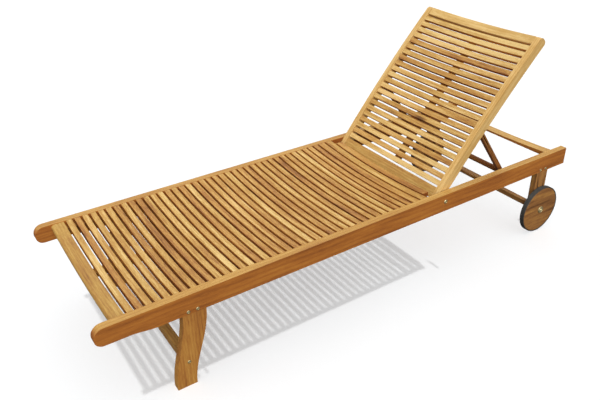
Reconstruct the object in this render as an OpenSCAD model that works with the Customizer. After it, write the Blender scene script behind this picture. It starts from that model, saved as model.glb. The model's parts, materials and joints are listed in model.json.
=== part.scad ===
// Reclining sun lounger: a slatted wooden bed on two legs and two wheels, with a hinged,
// bowed backrest that a swinging prop holds on two notched racks.
// Frame: X runs from the foot end (-) to the head end (+), Y across, Z up from the floor.
// The origin is on the floor, under the middle of the side rails.

/* [Side rails] */
// Length of the side rails, which is the length of the lounger
rail_l = 2000; // [1960:5:2040]
// Width over the outer faces of the side rails
frame_w = 650; // [620:5:680]
// Height of the rail tops above the floor
rail_top_z = 345; // [340:1:352]
// Thickness of a side rail
rail_t = 27; // [25:1:29]
// Depth of a side rail
rail_d = 70; // [66:1:74]
// Depth of the slimmer handle at the foot end of a rail
handle_d = 61; // [54:1:64]
// Length of the handle, up to the start of its curve
handle_l = 100; // [80:5:120]

/* [Seat] */
// Number of equal seat slats
seat_slat_n = 38; // [36:1:38]
// Width of a seat slat
slat_w = 20.2; // [18:0.1:20.4]
// Gap between neighbouring slats and boards
slat_gap = 8; // [6:0.5:8]
// Thickness of slats and boards
slat_t = 19; // [15:1:20]
// Number of wide boards at the hinge end of the seat
wide_board_n = 3; // [2:1:3]
// Width of a wide board
wide_board_w = 28; // [24:1:28]
// How far the middle of a seat slat lies below its ends
seat_sag = 15; // [8:1:16]

/* [Backrest] */
// Resting angle of the backrest above the horizontal
back_angle = 48.5; // [46:0.5:50]
// Number of backrest slats
back_slat_n = 22; // [20:1:22]
// Width of a backrest slat
back_slat_w = 20; // [18:0.5:20]
// How far the middle of a backrest slat lies behind its ends
back_sag = 13; // [8:1:13]
// Depth of a backrest stile
stile_d = 38; // [36:1:40]
// Thickness of a backrest stile
stile_t = 24; // [22:1:25]
// How far the middle of a stile bows forward of its ends
stile_bow = 10.5; // [9:0.5:12]

/* [Prop and racks] */
// Distance up the backrest from the hinge to the prop's pivots
prop_s = 297; // [295:0.5:299]
// Thickness of a prop strut
prop_t = 18; // [16:1:18]
// Diameter of the prop's round bar
prop_bar_d = 22; // [20:0.5:22]
// Number of notches in a rack
notch_n = 5; // [4:1:5]
// Depth of a notch
notch_d = 5; // [3:0.5:6]

/* [Legs and wheels] */
// Diameter of a wheel over its tyre
wheel_d = 205.2; // [200:0.2:208]
// Thickness of a wheel
wheel_t = 20; // [18:1:22]
// Thickness of the tyre band
tyre_t = 3.6; // [3:0.2:6]
// Width of a front leg at the floor
front_foot_w = 66; // [62:1:70]
// Width of a front leg at the rail
front_top_w = 78; // [74:1:82]
// Width of a rear leg
rear_leg_w = 64; // [60:1:68]
// Height of the tongue that laps a leg into its rail
tongue_h = 45; // [35:1:50]

/* [Hidden] */
$fn = 64;
ARC_FN = 720; // for arcs of several metres' radius
EPS = 0.01; // overlap of two shapes that join
OVER = 1; // how far a cut runs past a face
RUNNING = 0.08; // radial clearance of a pin or axle that turns
SNUG = 0.04; // radial clearance of a fixed pin
RADIAN = 180 / PI;

// Frame levels and planes
foot_x = -rail_l / 2;
outer_y = frame_w / 2;
inner_y = outer_y - rail_t;
rail_bottom_z = rail_top_z - rail_d;
handle_curve_l = 85;
handle_r_top = 0.54 * handle_d;
handle_r_bottom = 0.44 * handle_d;

// Cross rails of the frame
front_rail_x = foot_x + 57;
front_rail_w = 44;
rear_rail_x = foot_x + 1893;
rear_rail_w = 40;
rear_rail_sag = 9;
rear_rail_t = 18;
front_rail_t = 24;
cross_rail_drop = 2;
spreader_x = foot_x + 1569;
spreader_w = 19;
spreader_t = 12;
spreader_z = rail_top_z - 56;

// Seat slats run back from the front cross rail
slat_pitch = slat_w + slat_gap;
wide_pitch = wide_board_w + slat_gap;
end_play = 0.3;
slat_half_l = inner_y - end_play;
slats_x = front_rail_x + front_rail_w + slat_gap;
wide_x = slats_x + seat_slat_n * slat_pitch;
seat_end_x = wide_x + wide_board_n * wide_pitch - slat_gap;
seat_group = 3;
seat_group_n = ceil(seat_slat_n / seat_group);
ledger_w = 20;
ledger_d = 25;
batten_w = 30;
batten_d = 18;
end_rail_w = 25;
end_rail_d = 30;
end_rail_inset = 4;
end_rail_x = seat_end_x - end_rail_w - end_rail_inset;
ledger_x = front_rail_x + front_rail_w;

// Hinge of the backrest
hinge_x = foot_x + 1315.3;
hinge_z = rail_top_z - 29.3;
hinge_pin_d = 8;
hinge_head_d = 16;
hinge_head_t = 3;
stile_gap = 3;
stile_y = inner_y - stile_gap;
washer_t = 2.5;

// Backrest, in its own coordinates: s up the incline, n square to it and forward.
// Its parts follow arcs about one centre, at (arc_s, arc_n - arc_r).
back_chord = 345;
arc_s = 345;
arc_n = 20.5 + stile_bow;
arc_r = (back_chord * back_chord + stile_bow * stile_bow) / (2 * stile_bow);
stile_s0 = -20;
stile_s1 = 689;
stile_foot_r = 8;
stile_top_r = 15;
back_pitch = back_slat_w + slat_gap;
back_slats_s = 35;
back_half_l = stile_y - stile_t - end_play;
last_board_half_l = back_half_l - stile_gap;
back_group = 3;
back_group_n = ceil(back_slat_n / back_group);
back_rail_t = 22;
back_rail_inset = 0.6;
bottom_rail_s = -17;
bottom_rail_w = back_slats_s - slat_gap - bottom_rail_s;
top_rail_s = back_slats_s + back_slat_n * back_pitch;
top_rail_w = 34;
back_batten_w = 30;
back_batten_d = 14;

// Prop: two struts on pivots in the stiles, and a round bar across their feet
prop_q = 286.4;
prop_angle = 54;
strut_gap = 2;
strut_y = stile_y - stile_t - strut_gap;
prop_pin_d = 6;
prop_head_d = 12;
prop_head_t = 3;
pin_inset = 1;
pivot_play = 0.4;
prop_bar_gap = 4;
prop_bar_half_l = inner_y - prop_bar_gap;
prop_x = hinge_x + prop_s * cos(back_angle);
prop_z = hinge_z + prop_s * sin(back_angle);

// Racks on the inner faces of the rails
rack_x = foot_x + 1592;
rack_l = 277;
rack_top_z = rail_top_z - 51.2;
rack_inset = 1;
rack_bottom_z = rail_bottom_z + rack_inset;
rack_w = 20;
notch_pitch = 57.6;
notch_x = prop_x + prop_q * cos(prop_angle) - notch_pitch;
notch_ease = 4;
notch_r = prop_bar_d / 2 + notch_ease;

// Legs, wheels and their crossbars
front_leg_x = foot_x + 214;
front_leg_lean = 45;
leg_steps = 24;
tongue_t = 13.5;
axle_z = wheel_d / 2;
axle_x = foot_x + 1869;
leg_clear = 2;
axle_d = 10;
axle_washer_d = 30;
axle_washer_t = 2;
inner_washer_d = 24;
wheel_play = 0.5;
axle_head_d = 26;
axle_head_t = 6;
wheel_y = outer_y + leg_clear;
axle_bore_l = 50;
stretcher_x = foot_x + 261.5;
stretcher_w = 27;
stretcher_h = 32;
stretcher_z = 96;
axle_beam_w = 20;
axle_beam_h = 21;
leg_bolt_d = 6;
leg_bolt_head_d = 12;
leg_bolt_head_t = 1.5;
leg_bolt_z = rail_bottom_z + 9;
leg_bolt_pitch = 30.6;
front_bolts_x = foot_x + 294.4;
leg_bolt_xs = [for (x = [front_bolts_x, axle_x], k = [-0.5, 0.5]) x + k * leg_bolt_pitch];
screw_d = 6;
screw_l = 60;

// Colours
OAK = [0.82, 0.65, 0.38];
OAK_DARK = [0.66, 0.45, 0.24];
UMBER = [0.50, 0.32, 0.18];
BLACK = [0.12, 0.12, 0.12];
BRASS = [0.80, 0.68, 0.42];

SEAT_NODES = [for (g = [1:seat_group_n]) str("seat_slats_", g)];
BACK_NODES = [for (g = [1:back_group_n]) str("back_slats_", g)];
FRAME_NODES = ["side_rail_left", "side_rail_right", "front_cross_rail", "rear_cross_rail",
    "seat_end_rail", "spreader_bar", "seat_centre_batten", "seat_ledger_left",
    "seat_ledger_right", "seat_wide_boards"];
LEG_NODES = ["front_leg_left", "front_leg_right", "rear_leg_left", "rear_leg_right",
    "front_stretcher", "axle_beam", "rack_left", "rack_right", "leg_bolts",
    "stretcher_screws", "axle_bolts", "axle_washers", "hinge_bolts", "hinge_washers"];
REST_NODES = ["back_stile_left", "back_stile_right", "back_top_rail", "back_bottom_rail",
    "back_centre_batten", "prop_pivot_bolts", "prop_strut_left", "prop_strut_right",
    "prop_bar", "wheel_disc_left", "wheel_disc_right", "tyre_left", "tyre_right"];

// Smooth step from 0 to 1 with a cosine
function ease(t) = (1 - cos(180 * min(1, max(0, t)))) / 2;

// Radius of the arc with this half chord and this sag
function sag_radius(half, sag) = (half * half + sag * sag) / (2 * sag);

// Angle along the backrest's arc at a distance s up it
function arc_angle(s) = (arc_s - s) / arc_r * RADIAN;

// Extrudes an XZ outline along Y, between y0 and y1
module plate_xz(y0, y1) {
    translate([0, y1, 0])
        rotate([90, 0, 0])
            linear_extrude(height = y1 - y0)
                children();
}

// Extrudes a YZ outline along X, between x0 and x1
module bar_yz(x0, x1) {
    translate([x0, 0, 0])
        rotate([90, 0, 90])
            linear_extrude(height = x1 - x0)
                children();
}

// A rod along Y, between y0 and y1
module rod_y(x, z, d, y0, y1) {
    translate([x, y1, z])
        rotate([90, 0, 0])
            cylinder(d = d, h = y1 - y0);
}

// The same solid on the user's left (side = -1) or right (side = 1)
module on_side(side) {
    if (side < 0)
        children();
    else
        mirror([0, 1, 0])
            children();
}

// Outline of a dished board: its top arc passes top_z at the ends
module dished_outline(half_l, ref_half, top_z, thick, sag) {
    r = sag_radius(ref_half, sag);
    centre_z = top_z - sag + r;
    intersection() {
        translate([0, centre_z]) {
            difference() {
                circle(r + thick, $fn = ARC_FN);
                circle(r, $fn = ARC_FN);
            }
        }
        translate([-half_l, top_z - sag - thick - OVER])
            square([2 * half_l, sag + thick + 2 * OVER]);
    }
}

// A dished board of the seat, w wide from x0
module seat_board(x0, w, half_l) {
    bar_yz(x0, x0 + w)
        dished_outline(half_l, inner_y, rail_top_z, slat_t, seat_sag);
}

// What lies above the undersides of the seat slats
module above_slat_bottoms() {
    r = sag_radius(inner_y, seat_sag) + slat_t;
    translate([0, rail_top_z - seat_sag - slat_t + r])
        circle(r, $fn = ARC_FN);
}

// Quarter disc that rounds off the corner at the origin
module round_corner(r) {
    intersection() {
        translate([r, r])
            circle(r);
        square(r + EPS);
    }
}

// Outline of a side rail, with the slimmer handle at the foot end
module rail_outline() {
    rise = rail_d - handle_d;
    handle_bottom_z = rail_bottom_z + rise;
    x1 = foot_x + handle_l;
    steps = 12;
    polygon(concat(
        [[foot_x + handle_r_top, handle_bottom_z]],
        [for (i = [0:steps])
            [x1 + handle_curve_l * i / steps, handle_bottom_z - rise * ease(i / steps)]],
        [[-foot_x, rail_bottom_z], [-foot_x, rail_top_z], [foot_x + handle_r_top, rail_top_z]]));
    translate([foot_x, rail_top_z])
        mirror([0, 1])
            round_corner(handle_r_top);
    translate([foot_x, handle_bottom_z])
        round_corner(handle_r_bottom);
    translate([foot_x, handle_bottom_z + handle_r_bottom])
        square([handle_r_top + EPS, handle_d - handle_r_top - handle_r_bottom]);
    translate([foot_x + handle_r_bottom, handle_bottom_z])
        square([handle_r_top - handle_r_bottom + EPS, handle_r_bottom + EPS]);
}

// Edges of a front leg at height z, as offsets from its foot
function leg_front(z) = front_leg_x + front_leg_lean * ease(z / rail_bottom_z);
function leg_rear(z) = leg_front(z) + front_foot_w
    + (front_top_w - front_foot_w) * ease(z / rail_bottom_z);

// Outline of a front leg below its rail
module front_leg_outline() {
    zs = [for (i = [0:leg_steps]) rail_bottom_z * i / leg_steps];
    polygon(concat(
        [for (z = zs) [leg_front(z), z]],
        [for (i = [leg_steps:-1:0]) [leg_rear(zs[i]), zs[i]]]));
}

// Outlines of the legs' tongues, which start this far below the rail's bottom
module front_tongue(below) {
    translate([leg_front(rail_bottom_z), rail_bottom_z - below])
        square([front_top_w, tongue_h + below]);
}

module rear_tongue(below) {
    translate([axle_x - rear_leg_w / 2, rail_bottom_z - below])
        square([rear_leg_w, tongue_h + below]);
}

// Side rail, with a recess in its inner half for each leg's tongue
module side_rail(side) {
    color(OAK_DARK) on_side(side) difference() {
        plate_xz(-outer_y, -inner_y)
            rail_outline();
        plate_xz(-inner_y - tongue_t, -inner_y + OVER) {
            front_tongue(OVER);
            rear_tongue(OVER);
        }
        rod_y(hinge_x, hinge_z, hinge_pin_d + 2 * SNUG, -outer_y - OVER, -inner_y + OVER);
        for (x = leg_bolt_xs)
            rod_y(x, leg_bolt_z, leg_bolt_d + 2 * SNUG, -outer_y - OVER, -inner_y + OVER);
    }
}

// Cross rail at the foot end: dished like the slats, with a full round along its front.
// Its profile turns about the far centre of the seat's dish.
module front_cross_rail() {
    r = sag_radius(inner_y, seat_sag);
    nose = front_rail_t / 2;
    color(OAK) intersection() {
        translate([front_rail_x, 0, rail_top_z - cross_rail_drop - seat_sag + r])
            rotate([0, 90, 0])
                rotate_extrude($fn = ARC_FN) {
                    translate([r + nose, nose])
                        circle(nose);
                    translate([r, nose])
                        square([front_rail_t, front_rail_w - nose]);
                }
        translate([front_rail_x - OVER, -inner_y, rail_bottom_z])
            cube([front_rail_w + 2 * OVER, 2 * inner_y, rail_d]);
    }
}

// Flat-bottomed cross rail at the head end, with a dished top
module rear_cross_rail() {
    r = sag_radius(inner_y, rear_rail_sag);
    color(OAK) bar_yz(rear_rail_x, rear_rail_x + rear_rail_w) {
        difference() {
            translate([-inner_y, rail_top_z - rear_rail_t])
                square([2 * inner_y, rear_rail_t]);
            translate([0, rail_top_z - rear_rail_sag + r])
                circle(r, $fn = ARC_FN);
        }
    }
}

// Cross rail under the last board of the seat
module seat_end_rail() {
    color(OAK_DARK) bar_yz(end_rail_x, end_rail_x + end_rail_w) {
        difference() {
            translate([-inner_y, rail_top_z - seat_sag - slat_t - end_rail_d])
                square([2 * inner_y, end_rail_d + seat_sag + slat_t]);
            above_slat_bottoms();
        }
    }
}

// Plain bar between the rails, under the backrest
module spreader_bar() {
    color(OAK_DARK) translate([spreader_x, -inner_y, spreader_z])
        cube([spreader_w, 2 * inner_y, spreader_t]);
}

// Batten under the middles of the seat slats
module seat_centre_batten() {
    top = rail_top_z - seat_sag - slat_t;
    color(OAK_DARK) translate([ledger_x, -batten_w / 2, top - batten_d])
        cube([end_rail_x - ledger_x, batten_w, batten_d]);
}

// Ledger on a rail's inner face, which carries the slats' ends
module seat_ledger(side) {
    top = rail_top_z - slat_t;
    color(OAK_DARK) on_side(side) bar_yz(ledger_x, end_rail_x) {
        difference() {
            translate([-inner_y, top - ledger_d])
                square([ledger_w, ledger_d]);
            above_slat_bottoms();
        }
    }
}

// One group of neighbouring seat slats
module seat_slat_group(g) {
    first = (g - 1) * seat_group;
    last = min(seat_slat_n, g * seat_group) - 1;
    color(OAK) for (i = [first:last])
        seat_board(slats_x + i * slat_pitch, slat_w, slat_half_l);
}

// Wide boards at the hinge end; the last one stops short of the stiles
module seat_wide_boards() {
    color(OAK) for (i = [0:wide_board_n - 1])
        seat_board(wide_x + i * wide_pitch, wide_board_w,
            i < wide_board_n - 1 ? slat_half_l : last_board_half_l);
}

// Curved front leg, lapped into its rail
module front_leg(side) {
    color(OAK_DARK) on_side(side) difference() {
        union() {
            plate_xz(-outer_y, -inner_y)
                front_leg_outline();
            plate_xz(-inner_y - tongue_t, -inner_y)
                front_tongue(EPS);
        }
        for (i = [0, 1])
            rod_y(leg_bolt_xs[i], leg_bolt_z, leg_bolt_d + 2 * SNUG, -outer_y, -inner_y + OVER);
        rod_y(stretcher_x, stretcher_z, screw_d + 2 * SNUG, -outer_y - OVER,
            -inner_y + OVER);
    }
}

// Straight rear leg with a round end about the axle, lapped into its rail
module rear_leg(side) {
    half = rear_leg_w / 2;
    color(OAK_DARK) on_side(side) difference() {
        union() {
            plate_xz(-outer_y, -inner_y) {
                translate([axle_x - half, axle_z])
                    square([rear_leg_w, rail_bottom_z - axle_z]);
                translate([axle_x, axle_z])
                    circle(half, $fn = 96);
            }
            plate_xz(-inner_y - tongue_t, -inner_y)
                rear_tongue(EPS);
        }
        for (i = [2, 3])
            rod_y(leg_bolt_xs[i], leg_bolt_z, leg_bolt_d + 2 * SNUG, -outer_y, -inner_y + OVER);
        rod_y(axle_x, axle_z, axle_d + 2 * SNUG, -outer_y - OVER, -inner_y + OVER);
    }
}

// Crossbar between the front legs
module front_stretcher() {
    color(OAK_DARK) difference() {
        translate([stretcher_x - stretcher_w / 2, -inner_y, stretcher_z - stretcher_h / 2])
            cube([stretcher_w, 2 * inner_y, stretcher_h]);
        for (side = [-1, 1])
            on_side(side)
                rod_y(stretcher_x, stretcher_z, screw_d + 2 * SNUG, -inner_y - OVER,
                    -outer_y + screw_l + OVER);
    }
}

// Crossbar between the rear legs, which also takes the axle bolts
module axle_beam() {
    color(OAK_DARK) difference() {
        translate([axle_x - axle_beam_w / 2, -inner_y, axle_z - axle_beam_h / 2])
            cube([axle_beam_w, 2 * inner_y, axle_beam_h]);
        for (side = [-1, 1])
            on_side(side)
                rod_y(axle_x, axle_z, axle_d + 2 * SNUG, -inner_y - OVER,
                    -inner_y + axle_bore_l + OVER);
    }
}

// Notched rack on a rail's inner face
module rack(side) {
    color(UMBER) on_side(side) plate_xz(-inner_y, -inner_y + rack_w) {
        difference() {
            translate([rack_x, rack_bottom_z])
                square([rack_l, rack_top_z - rack_bottom_z]);
            for (i = [0:notch_n - 1])
                translate([notch_x + i * notch_pitch, rack_top_z - notch_d + notch_r])
                    circle(notch_r);
        }
    }
}

// Bolts that clamp the legs' tongues in the rails
module leg_bolts() {
    color(BRASS) for (side = [-1, 1], x = leg_bolt_xs)
        on_side(side) {
            rod_y(x, leg_bolt_z, leg_bolt_d, -outer_y - EPS, -inner_y - pin_inset);
            rod_y(x, leg_bolt_z, leg_bolt_head_d, -outer_y - leg_bolt_head_t, -outer_y);
        }
}

// Screws through the front legs into the ends of their stretcher
module stretcher_screws() {
    color(BRASS) for (side = [-1, 1])
        on_side(side) {
            rod_y(stretcher_x, stretcher_z, screw_d, -outer_y - EPS, -outer_y + screw_l);
            rod_y(stretcher_x, stretcher_z, leg_bolt_head_d, -outer_y - leg_bolt_head_t,
                -outer_y);
        }
}

// Axle bolts: cap nut, washer, and the shank through wheel and leg into the beam
module axle_bolts() {
    washer_y = wheel_y + wheel_t + wheel_play;
    head_y = washer_y + axle_washer_t;
    color(BRASS) for (side = [-1, 1])
        on_side(side) {
            rod_y(axle_x, axle_z, axle_d, -washer_y - EPS, -inner_y + axle_bore_l);
            rod_y(axle_x, axle_z, axle_washer_d, -head_y, -washer_y);
            rod_y(axle_x, axle_z, axle_head_d, -head_y - axle_head_t, -head_y + EPS);
        }
}

// Thin washers between the rear legs and the wheels
module axle_washers() {
    color(BRASS) for (side = [-1, 1])
        on_side(side) difference() {
            rod_y(axle_x, axle_z, inner_washer_d, -wheel_y + wheel_play, -outer_y);
            rod_y(axle_x, axle_z, axle_d + 2 * SNUG, -wheel_y, -outer_y + OVER);
        }
}

// Hinge bolts: head on the rail's outer face, shank through the rail and the stile
module hinge_bolts() {
    color(BRASS) for (side = [-1, 1])
        on_side(side) {
            rod_y(hinge_x, hinge_z, hinge_pin_d, -outer_y - EPS, -stile_y + stile_t - pin_inset);
            rod_y(hinge_x, hinge_z, hinge_head_d, -outer_y - hinge_head_t, -outer_y);
        }
}

// Washers that keep the stiles off the rails
module hinge_washers() {
    color(BRASS) for (side = [-1, 1])
        on_side(side) difference() {
            rod_y(hinge_x, hinge_z, hinge_head_d, -inner_y, -inner_y + washer_t);
            rod_y(hinge_x, hinge_z, hinge_pin_d + 2 * SNUG, -outer_y, -stile_y);
        }
}

// Places the backrest's own coordinates: X is s, Y is across, Z is n
module at_back() {
    translate([hinge_x, 0, hinge_z])
        rotate([0, -back_angle, 0])
            children();
}

// Places something at a distance s up the backrest's arc, with its origin on the arc
module on_arc(s) {
    translate([arc_s, 0, arc_n - arc_r])
        rotate([0, -arc_angle(s), 0])
            translate([0, 0, arc_r])
                children();
}

// Rounded end of a stile: it runs past the origin by r, and its two corners are arcs
module stile_end(r) {
    for (n = [-r, r - stile_d])
        translate([0, n])
            circle(r);
    translate([-r, r - stile_d])
        square([r + EPS, stile_d - 2 * r]);
}

// Bowed outline of a stile, in s and n
module stile_outline() {
    s0 = stile_s0 + stile_foot_r;
    s1 = stile_s1 - stile_top_r;
    far = arc_r + stile_d;
    translate([arc_s, arc_n - arc_r]) {
        intersection() {
            difference() {
                circle(arc_r, $fn = 2 * ARC_FN);
                circle(arc_r - stile_d, $fn = 2 * ARC_FN);
            }
            polygon([[0, 0],
                [-far * sin(arc_angle(s0)), far * cos(arc_angle(s0))],
                [-far * sin(arc_angle(s1)), far * cos(arc_angle(s1))]]);
        }
        rotate([0, 0, arc_angle(s0)])
            translate([0, arc_r])
                stile_end(stile_foot_r);
        rotate([0, 0, arc_angle(s1)])
            translate([0, arc_r])
                mirror([1, 0])
                    stile_end(stile_top_r);
    }
}

// Bowed side member of the backrest
module back_stile(side) {
    color(OAK_DARK) on_side(side) at_back() difference() {
        plate_xz(-stile_y, -stile_y + stile_t)
            stile_outline();
        rod_y(0, 0, hinge_pin_d + 2 * RUNNING, -stile_y - OVER, -stile_y + stile_t + OVER);
        rod_y(prop_s, 0, prop_pin_d + 2 * SNUG, -stile_y - OVER, -stile_y + stile_t + OVER);
    }
}

// Dished board of the backrest: w wide from s, its ends flush with the stiles' fronts
module back_board(s, w, thick) {
    on_arc(s + w / 2)
        bar_yz(-w / 2, w / 2)
            dished_outline(back_half_l, back_half_l, -back_rail_inset, thick, back_sag);
}

module back_bottom_rail() {
    color(OAK) at_back()
        back_board(bottom_rail_s, bottom_rail_w, back_rail_t);
}

module back_top_rail() {
    color(OAK) at_back()
        back_board(top_rail_s, top_rail_w, back_rail_t);
}

// One group of neighbouring backrest slats
module back_slat_group(g) {
    first = (g - 1) * back_group;
    last = min(back_slat_n, g * back_group) - 1;
    color(OAK) at_back() for (i = [first:last])
        back_board(back_slats_s + i * back_pitch, back_slat_w, slat_t);
}

// Bowed batten behind the middles of the backrest slats
module back_centre_batten() {
    r = arc_r - back_rail_inset - back_sag - slat_t;
    s0 = back_slats_s;
    s1 = top_rail_s - slat_gap;
    color(OAK_DARK) at_back() plate_xz(-back_batten_w / 2, back_batten_w / 2)
        translate([arc_s, arc_n - arc_r])
            intersection() {
                difference() {
                    circle(r, $fn = 2 * ARC_FN);
                    circle(r - back_batten_d, $fn = 2 * ARC_FN);
                }
                polygon([[0, 0],
                    [-arc_r * sin(arc_angle(s0)), arc_r * cos(arc_angle(s0))],
                    [-arc_r * sin(arc_angle(s1)), arc_r * cos(arc_angle(s1))]]);
            }
}

// Bolts that carry the prop's struts on the stiles: head, shank, and a collar between
module prop_pivot_bolts() {
    head_y = strut_y - prop_t - pivot_play;
    color(BRASS) for (side = [-1, 1])
        on_side(side) {
            rod_y(prop_x, prop_z, prop_pin_d, -stile_y + pin_inset, -head_y + EPS);
            rod_y(prop_x, prop_z, prop_head_d, -head_y, -head_y + prop_head_t);
            rod_y(prop_x, prop_z, prop_head_d, -stile_y + stile_t, -strut_y - pivot_play);
        }
}

// Places the prop's own coordinates: X runs from its pivots to its bar
module at_prop() {
    translate([prop_x, 0, prop_z])
        rotate([0, prop_angle, 0])
            children();
}

// Strut with a round head at the pivot and a foot coped over the bar
module prop_strut(side) {
    color(UMBER) on_side(side) at_prop() difference() {
        plate_xz(-strut_y, -strut_y + prop_t) {
            circle(d = prop_t);
            translate([0, -prop_t / 2])
                square([prop_q, prop_t]);
        }
        rod_y(prop_q, 0, prop_bar_d, -strut_y - OVER, -strut_y + prop_t + OVER);
        rod_y(0, 0, prop_pin_d + 2 * RUNNING, -strut_y - OVER, -strut_y + prop_t + OVER);
    }
}

// Round bar that drops into the racks' notches
module prop_bar() {
    color(UMBER) at_prop()
        rod_y(prop_q, 0, prop_bar_d, -prop_bar_half_l, prop_bar_half_l);
}

// Wooden disc of a wheel
module wheel_disc(side) {
    color(UMBER) on_side(side) difference() {
        rod_y(axle_x, axle_z, wheel_d - 2 * tyre_t, -wheel_y - wheel_t, -wheel_y, $fn = 128);
        rod_y(axle_x, axle_z, axle_d + 2 * RUNNING, -wheel_y - wheel_t - OVER, -wheel_y + OVER);
    }
}

// Rubber band around a wheel
module tyre(side) {
    color(BLACK) on_side(side) difference() {
        rod_y(axle_x, axle_z, wheel_d, -wheel_y - wheel_t, -wheel_y, $fn = 128);
        rod_y(axle_x, axle_z, wheel_d - 2 * tyre_t, -wheel_y - wheel_t - OVER, -wheel_y + OVER,
            $fn = 128);
    }
}

side_rail(-1);  // side_rail_left
side_rail(1);  // side_rail_right
front_cross_rail();
rear_cross_rail();
seat_end_rail();
spreader_bar();
seat_centre_batten();
seat_ledger(-1);  // seat_ledger_left
seat_ledger(1);  // seat_ledger_right
seat_wide_boards();
for (g = [1:seat_group_n])
    seat_slat_group(g);
front_leg(-1);  // front_leg_left
front_leg(1);  // front_leg_right
rear_leg(-1);  // rear_leg_left
rear_leg(1);  // rear_leg_right
front_stretcher();
axle_beam();
rack(-1);  // rack_left
rack(1);  // rack_right
leg_bolts();
stretcher_screws();
axle_bolts();
axle_washers();
hinge_bolts();
hinge_washers();
back_stile(-1);  // back_stile_left
back_stile(1);  // back_stile_right
back_top_rail();
back_bottom_rail();
back_centre_batten();
for (g = [1:back_group_n])
    back_slat_group(g);
prop_pivot_bolts();
prop_strut(-1);  // prop_strut_left
prop_strut(1);  // prop_strut_right
prop_bar();
wheel_disc(-1);  // wheel_disc_left
wheel_disc(1);  // wheel_disc_right
tyre(-1);  // tyre_left
tyre(1);  // tyre_right
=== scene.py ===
import json
import math

import bmesh
import bpy
from mathutils import Matrix, Vector


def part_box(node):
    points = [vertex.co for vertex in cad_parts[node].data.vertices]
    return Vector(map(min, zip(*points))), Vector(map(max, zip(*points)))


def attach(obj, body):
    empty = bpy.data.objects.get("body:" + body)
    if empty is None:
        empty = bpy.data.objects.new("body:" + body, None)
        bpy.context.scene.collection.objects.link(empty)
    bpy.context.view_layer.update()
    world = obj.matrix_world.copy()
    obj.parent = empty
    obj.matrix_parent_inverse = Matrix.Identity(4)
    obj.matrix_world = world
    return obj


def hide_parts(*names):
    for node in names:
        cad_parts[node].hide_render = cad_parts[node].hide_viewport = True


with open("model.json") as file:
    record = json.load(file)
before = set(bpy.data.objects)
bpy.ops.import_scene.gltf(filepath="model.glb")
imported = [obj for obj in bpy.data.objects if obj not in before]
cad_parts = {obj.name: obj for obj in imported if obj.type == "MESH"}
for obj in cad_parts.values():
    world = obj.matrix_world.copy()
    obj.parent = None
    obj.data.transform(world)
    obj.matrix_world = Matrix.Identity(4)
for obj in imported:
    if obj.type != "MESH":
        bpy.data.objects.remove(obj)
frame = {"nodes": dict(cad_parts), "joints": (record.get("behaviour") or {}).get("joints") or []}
NODES = frame["nodes"]
bpy.context.view_layer.update()

JOINTS = {joint["name"]: joint for joint in frame["joints"]}
HINGE = Vector(JOINTS["backrest_recline"]["pos_m"])
PROP_PIVOT = Vector(JOINTS["prop_swing"]["pos_m"])
MM = 0.001


# ---------------------------------------------------------------- shader graphs

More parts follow.
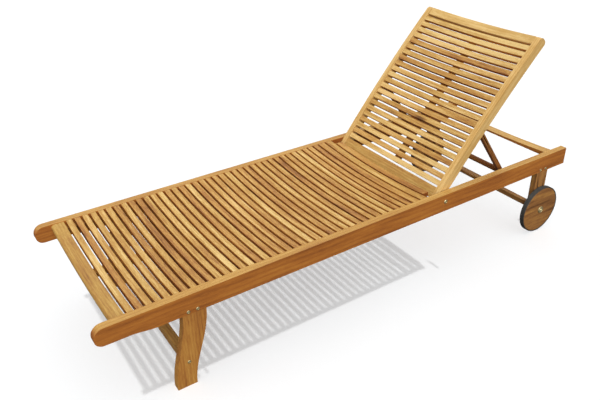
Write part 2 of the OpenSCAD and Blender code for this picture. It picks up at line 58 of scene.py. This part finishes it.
class Graph:
    """One material's node tree, built with short calls."""

    def __init__(self, name):
        self.material = bpy.data.materials.new(name)
        self.material.use_nodes = True
        self.tree = self.material.node_tree
        self.tree.nodes.clear()

    def add(self, kind, **settings):
        node = self.tree.nodes.new(kind)
        for key, value in settings.items():
            setattr(node, key, value)
        return node

    def feed(self, socket, value):
        if isinstance(value, bpy.types.NodeSocket):
            self.tree.links.new(value, socket)
        else:
            socket.default_value = value

    def math(self, operation, a, b=0.0, clamp=False):
        node = self.add("ShaderNodeMath", operation=operation, use_clamp=clamp)
        self.feed(node.inputs[0], a)
        self.feed(node.inputs[1], b)
        return node.outputs[0]

    def vector(self, operation, a, b=(0.0, 0.0, 0.0)):
        node = self.add("ShaderNodeVectorMath", operation=operation)
        self.feed(node.inputs[0], a)
        self.feed(node.inputs[1], b)
        return node.outputs["Value" if operation in ("LENGTH", "DOT_PRODUCT") else "Vector"]

    def parts(self, vector):
        node = self.add("ShaderNodeSeparateXYZ")
        self.feed(node.inputs[0], vector)
        return node.outputs

    def joined(self, x, y, z):
        node = self.add("ShaderNodeCombineXYZ")
        for socket, value in zip(node.inputs, (x, y, z)):
            self.feed(socket, value)
        return node.outputs[0]

    def noise(self, vector, scale=1.0, detail=3.0, roughness=0.5):
        node = self.add("ShaderNodeTexNoise")
        self.feed(node.inputs["Vector"], vector)
        node.inputs["Scale"].default_value = scale
        node.inputs["Detail"].default_value = detail
        node.inputs["Roughness"].default_value = roughness
        return node.outputs[0]

    def stretch(self, value, low, high):
        node = self.add("ShaderNodeMapRange", interpolation_type="SMOOTHSTEP")
        for socket, number in zip(node.inputs, (value, low, high)):
            self.feed(socket, number)
        return node.outputs[0]

    def ramp(self, factor, stops):
        node = self.add("ShaderNodeValToRGB")
        self.feed(node.inputs[0], factor)
        elements = node.color_ramp.elements
        while len(elements) < len(stops):
            elements.new(0.5)
        for element, (place, colour) in zip(elements, stops):
            element.position = place
            element.color = (*colour, 1.0)
        return node.outputs[0]

    def mix(self, factor, a, b, blend="MIX"):
        node = self.add("ShaderNodeMix", data_type="RGBA", blend_type=blend)
        self.feed(node.inputs[0], factor)
        self.feed(node.inputs[6], a)
        self.feed(node.inputs[7], b)
        return node.outputs[2]

    def bump(self, height, strength, distance):
        node = self.add("ShaderNodeBump")
        node.inputs["Strength"].default_value = strength
        node.inputs["Distance"].default_value = distance
        self.feed(node.inputs["Height"], height)
        return node.outputs[0]

    def finish(self, colour, roughness, normal=None, **constants):
        shader = self.add("ShaderNodeBsdfPrincipled")
        self.feed(shader.inputs["Base Color"], colour)
        self.feed(shader.inputs["Roughness"], roughness)
        if normal is not None:
            self.feed(shader.inputs["Normal"], normal)
        for key, value in constants.items():
            shader.inputs[key.replace("_", " ")].default_value = value
        output = self.add("ShaderNodeOutputMaterial")
        self.tree.links.new(shader.outputs[0], output.inputs[0])
        return self.material


# ---------------------------------------------------------------- wood

# Colours of oiled acacia from heartwood to sapwood
WOOD_STOPS = (
    (0.00, (0.100, 0.040, 0.014)),
    (0.25, (0.260, 0.112, 0.036)),
    (0.45, (0.400, 0.190, 0.053)),
    (0.65, (0.505, 0.285, 0.080)),
    (0.85, (0.620, 0.390, 0.140)),
    (1.00, (0.730, 0.500, 0.215)),
)
KNOT = (0.105, 0.045, 0.018)
# What the wood's colour is multiplied by where it is redder or yellower than the stops
RED, WARM, GREY, PLAIN = (1.04, 0.77, 0.52), (1.0, 0.89, 0.74), (0.95, 0.97, 0.93), (1.0, 1.0, 1.0)


def wood(name, along, seed, tone, tint=PLAIN, tilt=0.0, pivot=(0.0, 0.0, 0.0), boards=None,
         painted_light_from=None, mottle=0.5, figure=0.6):
    """Oiled wood whose grain runs along one axis, after turning by tilt about Y.

    boards is the start and pitch of a row of boards along X; each has its own tone and cut.
    painted_light_from is a direction; faces that look that way are painted paler and lose the
    tint, as painted light falling from that side.
    """
    g = Graph(name)
    coordinates = g.add("ShaderNodeTexCoord").outputs
    place = coordinates["Object"]
    if tilt:
        turn = g.add("ShaderNodeVectorRotate", rotation_type="Y_AXIS")
        g.feed(turn.inputs["Vector"], place)
        turn.inputs["Center"].default_value = pivot
        turn.inputs["Angle"].default_value = tilt
        place = g.vector("SUBTRACT", turn.outputs[0], tuple(pivot))
    x, y, z = g.parts(place)
    board = 0.0
    if boards:
        start, pitch = boards
        board = g.math("FLOOR", g.math("DIVIDE", g.math("SUBTRACT", x, start), pitch))
    lot = g.add("ShaderNodeTexWhiteNoise", noise_dimensions="1D")
    g.feed(lot.inputs["W"], g.math("ADD", board, seed))
    lot_r, lot_g, lot_b = g.parts(lot.outputs["Color"])
    shade = g.math("MULTIPLY", g.math("ADD", lot.outputs["Value"], lot_b), 0.5)
    order = {"x": (x, y, z), "y": (y, x, z), "z": (z, x, y)}[along]
    cut = g.vector("ADD", g.joined(*order), g.vector("MULTIPLY", lot.outputs["Color"], (9, 9, 9)))

    # Growth rings: distance from a wandering pith that lies outside the board
    wander = g.noise(g.vector("MULTIPLY", cut, (1.6, 9.0, 9.0)), detail=2.0)
    pith_u = g.math("SUBTRACT", order[1], g.math("MULTIPLY", g.math("SUBTRACT", lot_g, 0.5), 0.10))
    pith_v = g.math("ADD", order[2], g.math("ADD", g.math("MULTIPLY", lot_b, 0.06), 0.03))
    if not boards:
        pith_u = g.math("SUBTRACT", order[1], lot_g)
    reach = g.vector("LENGTH", g.joined(0.0, pith_u, pith_v))
    phase = g.math("ADD", g.math("MULTIPLY", reach, 620.0), g.math("MULTIPLY", wander, 26.0))
    wave = g.math("ADD", g.math("MULTIPLY", g.math("SINE", phase), 0.5), 0.5)
    rings = g.math("POWER", wave, 2.2)

    streaks = g.noise(g.vector("MULTIPLY", cut, (4.0, 110.0, 110.0)), detail=4.0, roughness=0.6)
    clouds = g.noise(g.vector("MULTIPLY", cut, (3.4, 24.0, 24.0)), detail=2.0)
    flecks = g.noise(g.vector("MULTIPLY", cut, (38.0, 420.0, 420.0)), detail=3.0, roughness=0.7)
    pores = g.noise(g.vector("MULTIPLY", cut, (26.0, 1100.0, 1100.0)), detail=2.0)
    pore = g.stretch(pores, 0.56, 0.70)

    low, high = tone
    level = g.math("ADD", g.math("MULTIPLY", shade, high - low), low)
    for grain, depth in ((streaks, figure), (clouds, mottle), (flecks, figure)):
        level = g.math("ADD", level, g.math("MULTIPLY", g.math("SUBTRACT", grain, 0.5), depth))
    level = g.math("SUBTRACT", level, g.math("MULTIPLY", rings, 0.09))
    level = g.math("SUBTRACT", level, g.math("MULTIPLY", pore, 0.10))

    # Sparse knots, longer along the grain, in a darker patch
    cells = g.add("ShaderNodeTexVoronoi", feature="F1")
    g.feed(cells.inputs["Vector"], g.vector("MULTIPLY", cut, (4.0, 16.0, 16.0)))
    cells.inputs["Scale"].default_value = 1.0
    chance = g.stretch(g.parts(cells.outputs["Color"])[0], 0.88, 0.90)
    patch = g.math("MULTIPLY", g.stretch(cells.outputs["Distance"], 0.50, 0.12), chance)
    level = g.math("SUBTRACT", level, g.math("MULTIPLY", patch, 0.16))
    knot = g.math("MULTIPLY", g.stretch(cells.outputs["Distance"], 0.17, 0.05), chance)

    tint_and_painted_paling = (*tint, 1.0)
    # Painted light: faces that look towards the given direction are painted paler and lose the
    # tint
    if painted_light_from:
        up = g.stretch(g.vector("DOT_PRODUCT", coordinates["Normal"], painted_light_from), 0.35, 0.95)
        level = g.math("ADD", level, g.math("MULTIPLY", up, 0.20))
        tint_and_painted_paling = g.mix(up, tint_and_painted_paling, (*PLAIN, 1.0))
    colour = g.ramp(g.math("MAXIMUM", level, 0.0, clamp=True), WOOD_STOPS)
    colour = g.mix(1.0, colour, tint_and_painted_paling, "MULTIPLY")

    # Boards differ a little in hue as well: some redder, some yellower
    warm = g.mix(lot_r, (1.0, 0.955, 0.87, 1.0), (1.0, 1.03, 0.95, 1.0))
    colour = g.mix(1.0, colour, warm, "MULTIPLY")
    colour = g.mix(g.math("MULTIPLY", knot, 0.8), colour, (*KNOT, 1.0))

    height = g.math("SUBTRACT", g.math("MULTIPLY", streaks, 0.5), g.math("MULTIPLY", pore, 0.6))
    roughness = g.math("ADD", g.math("MULTIPLY", streaks, 0.16), 0.40)
    roughness = g.math("ADD", roughness, g.math("MULTIPLY", pore, 0.12))
    return g.finish(colour, roughness, g.bump(height, 0.35, 0.0004), Specular_IOR_Level=0.25)


def rubber(name):
    """Matt tyre rubber with a fine moulded skin and a little dust."""
    g = Graph(name)
    place = g.add("ShaderNodeTexCoord").outputs["Object"]
    skin = g.noise(place, scale=900.0, detail=3.0)
    dust = g.stretch(g.noise(place, scale=38.0, detail=4.0), 0.45, 0.75)
    clean, dusty = (0.044, 0.042, 0.038, 1), (0.100, 0.095, 0.082, 1)
    colour = g.mix(g.math("MULTIPLY", dust, 0.35), clean, dusty)
    roughness = g.math("ADD", g.math("MULTIPLY", dust, 0.15), 0.62)
    return g.finish(colour, roughness, g.bump(skin, 0.25, 0.0003), Specular_IOR_Level=0.35)


def brass(name):
    """Satin brass plating, slightly tarnished and finely scratched."""
    g = Graph(name)
    place = g.add("ShaderNodeTexCoord").outputs["Object"]
    tarnish = g.stretch(g.noise(place, scale=240.0, detail=4.0), 0.35, 0.75)
    colour = g.mix(tarnish, (0.78, 0.70, 0.42, 1), (0.50, 0.40, 0.21, 1))
    scratches = g.noise(g.vector("MULTIPLY", place, (300, 2500, 300)), detail=2.0)
    roughness = g.math("ADD", g.math("MULTIPLY", tarnish, 0.20), 0.42)
    return g.finish(colour, roughness, g.bump(scratches, 0.1, 0.0001), Metallic=1.0)


# ---------------------------------------------------------------- CAD nodes

BACK_TILT = math.atan2(PROP_PIVOT.z - HINGE.z, PROP_PIVOT.x - HINGE.x)
PROP_FOOT = (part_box("prop_bar")[0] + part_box("prop_bar")[1]) / 2
SLAT_EDGE, FITTING_EDGE, TYRE_EDGE = 1.3 * MM, 0.4 * MM, 1.6 * MM
STRUT_EDGE, WELD = 2.0 * MM, 0.01 * MM
BEVEL_FROM = math.radians(30)
BOARD_GAP = 2.6 * MM
UP = (0.0, 0.0, 1.0)
BACK_FACING = (-math.sin(BACK_TILT), 0.0, math.cos(BACK_TILT))
PROP_TILT = math.atan2(PROP_FOOT.z - PROP_PIVOT.z, PROP_FOOT.x - PROP_PIVOT.x)


def up_the_back(node):
    """Distance from the hinge up the backrest to the node's lowest point."""
    axis = Vector((math.cos(BACK_TILT), 0.0, math.sin(BACK_TILT)))
    return min((vertex.co - HINGE).dot(axis) for vertex in NODES[node].data.vertices)


def round_edges(node, width, segments=3):
    """Rounds a CAD node's edges with modifiers, and shades it smooth."""
    piece = NODES[node]
    mesh = piece.data
    mesh.polygons.foreach_set("use_smooth", [True] * len(mesh.polygons))
    weld = piece.modifiers.new("weld", "WELD")
    weld.merge_threshold = WELD
    bevel = piece.modifiers.new("rounded edges", "BEVEL")
    bevel.width = width
    bevel.segments = segments
    bevel.limit_method = "ANGLE"
    bevel.angle_limit = BEVEL_FROM
    bevel.use_clamp_overlap = True
    normals = piece.modifiers.new("normals", "WEIGHTED_NORMAL")
    normals.weight = 100
    normals.keep_sharp = False


def paint(node, material):
    slots = NODES[node].data.materials
    slots.clear()
    slots.append(material)


def group(prefix):
    return sorted(name for name in NODES if name.startswith(prefix))


def dress_seat():
    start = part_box("seat_slats_1")[0].x
    pitch = (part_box("seat_slats_2")[0].x - start) / 3
    # The upward faces of the slats and boards are painted paler, as painted light from above
    slats = wood("seat_slat_wood", "y", 3.0, (0.30, 0.68), RED, painted_light_from=UP,
                 boards=(start - 0.15 * pitch, pitch), mottle=0.75, figure=0.95)
    for node in group("seat_slats_"):
        paint(node, slats)
        round_edges(node, SLAT_EDGE)
    low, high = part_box("seat_wide_boards")
    pitch = (high.x - low.x) / 3 + BOARD_GAP
    boards = wood("wide_board_wood", "y", 61.0, (0.33, 0.58), RED, painted_light_from=UP,
                  boards=(low.x - 0.1 * pitch, pitch), mottle=0.7, figure=0.75)
    paint("seat_wide_boards", boards)
    round_edges("seat_wide_boards", SLAT_EDGE)


def dress_back():
    start = up_the_back("back_slats_1")
    pitch = (up_the_back("back_slats_2") - start) / 3
    # The slat faces that look out of the backrest are painted paler, as painted light
    slats = wood("back_slat_wood", "y", 131.0, (0.30, 0.90), RED, BACK_TILT, HINGE,
                 (start - 0.15 * pitch, pitch), painted_light_from=BACK_FACING, mottle=1.1, figure=0.95)
    for node in group("back_slats_"):
        paint(node, slats)
        round_edges(node, SLAT_EDGE)


# Node, grain axis, seed, tone, tint, edge radius in mm
TIMBER = (
    ("side_rail_left", "x", 11.0, 0.455, RED, 2.5),
    ("side_rail_right", "x", 12.0, 0.44, RED, 2.5),
    ("front_cross_rail", "y", 13.0, 0.62, GREY, 3.0),
    ("rear_cross_rail", "y", 14.0, 0.54, RED, 3.0),
    ("seat_end_rail", "y", 15.0, 0.50, PLAIN, 2.0),
    ("spreader_bar", "y", 16.0, 0.60, PLAIN, 2.0),
    ("seat_centre_batten", "x", 17.0, 0.45, PLAIN, 2.0),
    ("seat_ledger_left", "x", 18.0, 0.45, PLAIN, 2.0),
    ("seat_ledger_right", "x", 19.0, 0.45, PLAIN, 2.0),
    ("front_leg_left", "z", 20.0, 0.53, WARM, 3.0),
    ("front_leg_right", "z", 21.0, 0.50, WARM, 3.0),
    ("rear_leg_left", "z", 22.0, 0.32, PLAIN, 3.0),
    ("rear_leg_right", "z", 23.0, 0.36, PLAIN, 3.0),
    ("front_stretcher", "y", 24.0, 0.52, PLAIN, 3.0),
    ("axle_beam", "y", 25.0, 0.34, PLAIN, 2.5),
    ("rack_left", "x", 26.0, 0.32, PLAIN, 1.5),
    ("rack_right", "x", 27.0, 0.32, PLAIN, 1.5),
    ("prop_bar", "y", 28.0, 0.30, WARM, 1.5),
    ("wheel_disc_left", "x", 29.0, 0.26, PLAIN, 4.0),
    ("wheel_disc_right", "z", 30.0, 0.29, PLAIN, 4.0),
)
TILTED_TIMBER = (
    ("back_stile_left", "x", 40.0, 0.90, PLAIN, 3.0),
    ("back_stile_right", "x", 41.0, 0.90, PLAIN, 3.0),
    ("back_top_rail", "y", 42.0, 0.92, PLAIN, 3.0),
    ("back_bottom_rail", "y", 43.0, 0.66, PLAIN, 3.0),
    ("back_centre_batten", "x", 44.0, 0.45, PLAIN, 2.0),
)


def dress_timber():
    for node, along, seed, tone, tint, edge in TIMBER:
        mottle = 0.9 if node.startswith(("wheel", "rear_leg")) else 0.5
        rail = node.startswith("side_rail")
        # The tops of the side rails and the rear cross rail are painted paler, as painted light
        # from above
        painted_top_light = UP if rail or node == "rear_cross_rail" else None
        grain = wood(node + "_wood", along, seed, (tone, tone), tint, painted_light_from=painted_top_light,
                     mottle=mottle, figure=0.4 if rail else 0.6)
        paint(node, grain)
        round_edges(node, edge * MM)
    for node, along, seed, tone, tint, edge in TILTED_TIMBER:
        paint(node, wood(node + "_wood", along, seed, (tone, tone), tint, BACK_TILT, HINGE))
        round_edges(node, edge * MM)
    for node, seed in (("prop_strut_left", 51.0), ("prop_strut_right", 52.0)):
        paint(node, wood(node + "_wood", "x", seed, (0.34, 0.34), WARM, PROP_TILT, PROP_PIVOT))
        round_edges(node, STRUT_EDGE)


# ---------------------------------------------------------------- fittings

# Head height, shank radius and length under the head
LEG_BOLT = (1.5 * MM, 3.0 * MM, 26.0 * MM)
STRETCHER_SCREW = (1.5 * MM, 3.0 * MM, 60.0 * MM)
# The same after the radius of the head
HINGE_BOLT = (8.0 * MM, 3.0 * MM, 4.0 * MM, 53.0 * MM)
LEG_BOLT_PITCH = 30.6 * MM
AXLE_CAP, AXLE_CAP_T, AXLE_WASHER_T = 13.0 * MM, 6.0 * MM, 2.0 * MM
AXLE_SHANK, AXLE_LENGTH = 5.0 * MM, 100.0 * MM


def turned(mesh, centre, side, profile, steps=48):
    """Adds a closed solid about a line along Y through centre.

    profile is a list of (distance outward, radius, whether the section is a hexagon).
    """
    rings = []
    for out, radius, hexagon in profile:
        ring = []
        for i in range(steps):
            turn = 2 * math.pi * i / steps
            reach = radius
            if hexagon:
                reach = radius / math.cos((turn % (math.pi / 3)) - math.pi / 6)
            offset = Vector((reach * math.cos(turn), side * out, reach * math.sin(turn)))
            ring.append(mesh.verts.new(centre + offset))
        rings.append(ring)
    for a, b in zip(rings, rings[1:]):
        for i in range(steps):
            j = (i + 1) % steps
            mesh.faces.new((a[i], a[j], b[j], b[i]))
    mesh.faces.new(rings[0])
    mesh.faces.new(rings[-1])


def button_bolt(mesh, centre, side, head, height, shank, length):
    """Adds a bolt with a domed head and a hexagonal socket; centre is under the head."""
    socket = 0.45 * head
    profile = [(-length, 0.85 * shank, False), (-length + 0.15 * shank, shank, False),
               (0.0, shank, False), (0.0, 0.92 * head, False), (0.12 * height, head, False),
               (0.30 * height, head, False)]
    for i in range(1, 6):
        turn = math.radians(16 * i)
        profile.append((height * (0.30 + 0.70 * math.sin(turn)),
                        head * (0.55 + 0.45 * math.cos(turn)), False))
    profile += [(0.98 * height, 1.18 * socket, False), (0.86 * height, socket, True),
                (0.20 * height, socket, True)]
    turned(mesh, centre, side, profile)


def made(name, mesh, material, node):
    """Makes a brass piece of the frame from a bmesh, to stand for a CAD node."""
    bmesh.ops.recalc_face_normals(mesh, faces=mesh.faces)
    data = bpy.data.meshes.new(name)
    mesh.to_mesh(data)
    mesh.free()
    piece = bpy.data.objects.new(name, data)
    bpy.context.scene.collection.objects.link(piece)
    data.materials.append(material)
    data.polygons.foreach_set("use_smooth", [True] * len(data.polygons))
    data.set_sharp_from_angle(angle=math.radians(32))
    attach(piece, "frame")
    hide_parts(node)


def bolt_row(name, node, material, xs, head, height, shank, length):
    """Bolts at these X places, in both sides of the CAD node, with heads outward."""
    low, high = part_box(node)
    middle = (low + high) / 2
    mesh = bmesh.new()
    for side, seat in ((-1, low.y + height), (1, high.y - height)):
        for x in xs:
            button_bolt(mesh, Vector((x, seat, middle.z)), side, head, height, shank, length)
    made(name, mesh, material, node)


def axle_end(mesh, seat, side, washer):
    """Adds a wide washer, a dished cap and a small domed nut on its shank."""
    cap, dish_t = AXLE_CAP, 0.45 * AXLE_CAP_T
    turned(mesh, seat, side, (
        (0.0, 0.90 * cap, False), (0.0, 0.97 * cap, False), (0.3 * dish_t, cap, False),
        (0.8 * dish_t, cap, False), (dish_t, 0.95 * cap, False), (dish_t, 0.84 * cap, False),
        (0.35 * dish_t, 0.70 * cap, False), (0.35 * dish_t, 0.50 * cap, False)))
    nut_seat = seat + Vector((0.0, side * 0.35 * dish_t, 0.0))
    button_bolt(mesh, nut_seat, side, 0.52 * cap, AXLE_CAP_T - 0.35 * dish_t,
                AXLE_SHANK, AXLE_LENGTH)
    turned(mesh, seat, side, (
        (-AXLE_WASHER_T, 0.93 * washer, False), (-0.5 * AXLE_WASHER_T, washer, False),
        (0.0, 0.95 * washer, False), (0.0, 0.80 * washer, False)))


def dress_fittings():
    finish = brass("satin_brass")
    low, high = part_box("leg_bolts")
    head = (high.z - low.z) / 2
    pitch = LEG_BOLT_PITCH
    xs = (low.x + head, low.x + head + pitch, high.x - head - pitch, high.x - head)
    bolt_row("leg_bolt_set", "leg_bolts", finish, xs, head, *LEG_BOLT)
    low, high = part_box("stretcher_screws")
    bolt_row("stretcher_screw_set", "stretcher_screws", finish, ((low.x + high.x) / 2,),
             head, *STRETCHER_SCREW)
    bolt_row("hinge_bolt_set", "hinge_bolts", finish, (HINGE.x,), *HINGE_BOLT)
    low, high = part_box("axle_bolts")
    axle = (low + high) / 2
    mesh = bmesh.new()
    washer = (high.z - low.z) / 2
    for side, end in ((-1, low.y), (1, high.y)):
        axle_end(mesh, Vector((axle.x, end - side * AXLE_CAP_T, axle.z)), side, washer)
    made("axle_bolt_set", mesh, finish, "axle_bolts")
    for node in ("axle_washers", "hinge_washers", "prop_pivot_bolts"):
        paint(node, finish)
        round_edges(node, FITTING_EDGE, 2)
    tyre = rubber("tyre_rubber")
    for node in ("tyre_left", "tyre_right"):
        paint(node, tyre)
        round_edges(node, TYRE_EDGE)


# ---------------------------------------------------------------- stage

# Metres
FLOOR_HALF = 30.0
WALL_RADIUS, WALL_HEIGHT, WALL_SIDES = 20.0, 20.0, 96
# World strength below and above the horizon, and how far from it each is reached
GLOW = (("From Min", -0.4), ("From Max", 0.4), ("To Min", 0.08), ("To Max", 0.52))
# Name, direction, strength, angle in degrees
OBJECT_SUNS = (
    ("key", (0.15, 0.10, -1.0), 1.25, 6.0),
    ("fill", (0.35, 0.80, -0.40), 2.1, 60.0),
    ("back_fill", (-0.45, -0.80, -0.40), 0.95, 60.0),
)
FLOOR_KEY = ("floor_key", (0.05, 0.06, -1.0), 0.95, 2.4)
FLOOR_LIFT = ("floor_lift", (0.0, 0.0, -1.0), 1.28, 10.0)
# Camera: degrees, then metres, then the lens in mm
AZIMUTH, DOWN, ROLL = 32.914, 30.144, -1.012
EYE = (-1.2481, -1.7553, 1.5239)
LENS, SENSOR = 38.83, 36.0


def floor():
    """Pale floor that shows no bounce on the object; the world lights it from below instead."""
    g = Graph("pale_floor")
    g.finish((0.89, 0.90, 0.907, 1.0), 0.9, Specular_IOR_Level=0.1)
    data = bpy.data.meshes.new("floor")
    half = FLOOR_HALF
    corners = [(-half, -half, 0.0), (half, -half, 0.0), (half, half, 0.0), (-half, half, 0.0)]
    data.from_pydata(corners, [], [(0, 1, 2, 3)])
    data.materials.append(g.material)
    plane = bpy.data.objects.new("floor", data)
    plane.visible_diffuse = False
    plane.visible_glossy = False
    bpy.context.scene.collection.objects.link(plane)
    return plane


def backdrop():
    """White wall far around the floor, seen by the camera only."""
    g = Graph("white_wall")
    g.finish((1.0, 1.0, 1.0, 1.0), 1.0, Emission_Color=(1.0, 1.0, 1.0, 1.0), Emission_Strength=1.0)
    mesh = bmesh.new()
    turns = [2 * math.pi * i / WALL_SIDES for i in range(WALL_SIDES)]
    low, high = [[mesh.verts.new((WALL_RADIUS * math.cos(turn), WALL_RADIUS * math.sin(turn), z))
                  for turn in turns] for z in (0.0, WALL_HEIGHT)]
    for i in range(WALL_SIDES):
        j = (i + 1) % WALL_SIDES
        mesh.faces.new((low[i], low[j], high[j], high[i]))
    data = bpy.data.meshes.new("backdrop")
    mesh.to_mesh(data)
    mesh.free()
    data.materials.append(g.material)
    wall = bpy.data.objects.new("backdrop", data)
    for ray in ("diffuse", "glossy", "transmission", "volume_scatter", "shadow"):
        setattr(wall, "visible_" + ray, False)
    bpy.context.scene.collection.objects.link(wall)


def sun(name, towards, strength, angle):
    data = bpy.data.lights.new(name, "SUN")
    data.energy = strength
    data.angle = math.radians(angle)
    lamp = bpy.data.objects.new(name, data)
    lamp.rotation_euler = Vector(towards).to_track_quat("-Z", "Y").to_euler()
    bpy.context.scene.collection.objects.link(lamp)
    return lamp


def lights(plane):
    world = bpy.data.worlds.new("studio")
    world.use_nodes = True
    tree = world.node_tree
    height = tree.nodes.new("ShaderNodeSeparateXYZ")
    tree.links.new(tree.nodes.new("ShaderNodeTexCoord").outputs["Generated"], height.inputs[0])
    glow = tree.nodes.new("ShaderNodeMapRange")
    tree.links.new(height.outputs["Z"], glow.inputs["Value"])
    for key, value in GLOW:
        glow.inputs[key].default_value = value
    tree.links.new(glow.outputs[0], tree.nodes["Background"].inputs["Strength"])
    tree.nodes["Background"].inputs["Color"].default_value = (1.0, 1.0, 1.0, 1.0)
    bpy.context.scene.world = world

    # The floor has its own lights, so that its shadow is pale and the object isn't
    only_floor = bpy.data.collections.new("only_the_floor")
    only_floor.objects.link(plane)
    not_floor = bpy.data.collections.new("all_but_the_floor")
    not_floor.objects.link(plane)
    not_floor.collection_objects[0].light_linking.link_state = "EXCLUDE"
    for name, towards, strength, angle in OBJECT_SUNS:
        lamp = sun(name, towards, strength, angle)
        lamp.light_linking.receiver_collection = not_floor
        lamp.visible_glossy = name != "back_fill"
    floor_key = sun(*FLOOR_KEY)
    floor_key.light_linking.receiver_collection = only_floor
    no_shadow = bpy.data.collections.new("no_sharp_shadow_on_the_floor")
    for node, piece in NODES.items():
        if not node.startswith("seat_"):
            no_shadow.objects.link(piece)
    for entry in no_shadow.collection_objects:
        entry.light_linking.link_state = "EXCLUDE"
    floor_key.light_linking.blocker_collection = no_shadow
    floor_lift = sun(*FLOOR_LIFT)
    floor_lift.data.use_shadow = False
    floor_lift.light_linking.receiver_collection = only_floor
    bpy.context.scene.view_settings.view_transform = "Standard"


def camera():
    """Camera at 33 degrees to the bed's side and 30 degrees above it."""
    azimuth, down, roll = math.radians(AZIMUTH), math.radians(DOWN), math.radians(ROLL)
    data = bpy.data.cameras.new("camera")
    data.sensor_fit = "HORIZONTAL"
    data.sensor_width = SENSOR
    data.lens = LENS
    forward = Vector((math.sin(azimuth) * math.cos(down), math.cos(azimuth) * math.cos(down),
                      -math.sin(down)))
    right = forward.cross(Vector((0, 0, 1))).normalized()
    up = right.cross(forward)
    side = math.cos(roll) * right + math.sin(roll) * up
    top = -math.sin(roll) * right + math.cos(roll) * up
    eye = bpy.data.objects.new("camera", data)
    turn = Matrix((side, top, -forward)).transposed()
    eye.matrix_world = Matrix.Translation(EYE) @ turn.to_4x4()
    bpy.context.scene.collection.objects.link(eye)
    bpy.context.scene.camera = eye


camera()
dress_seat()
dress_back()
dress_timber()
dress_fittings()
backdrop()
lights(floor())

bpy.context.view_layer.update()
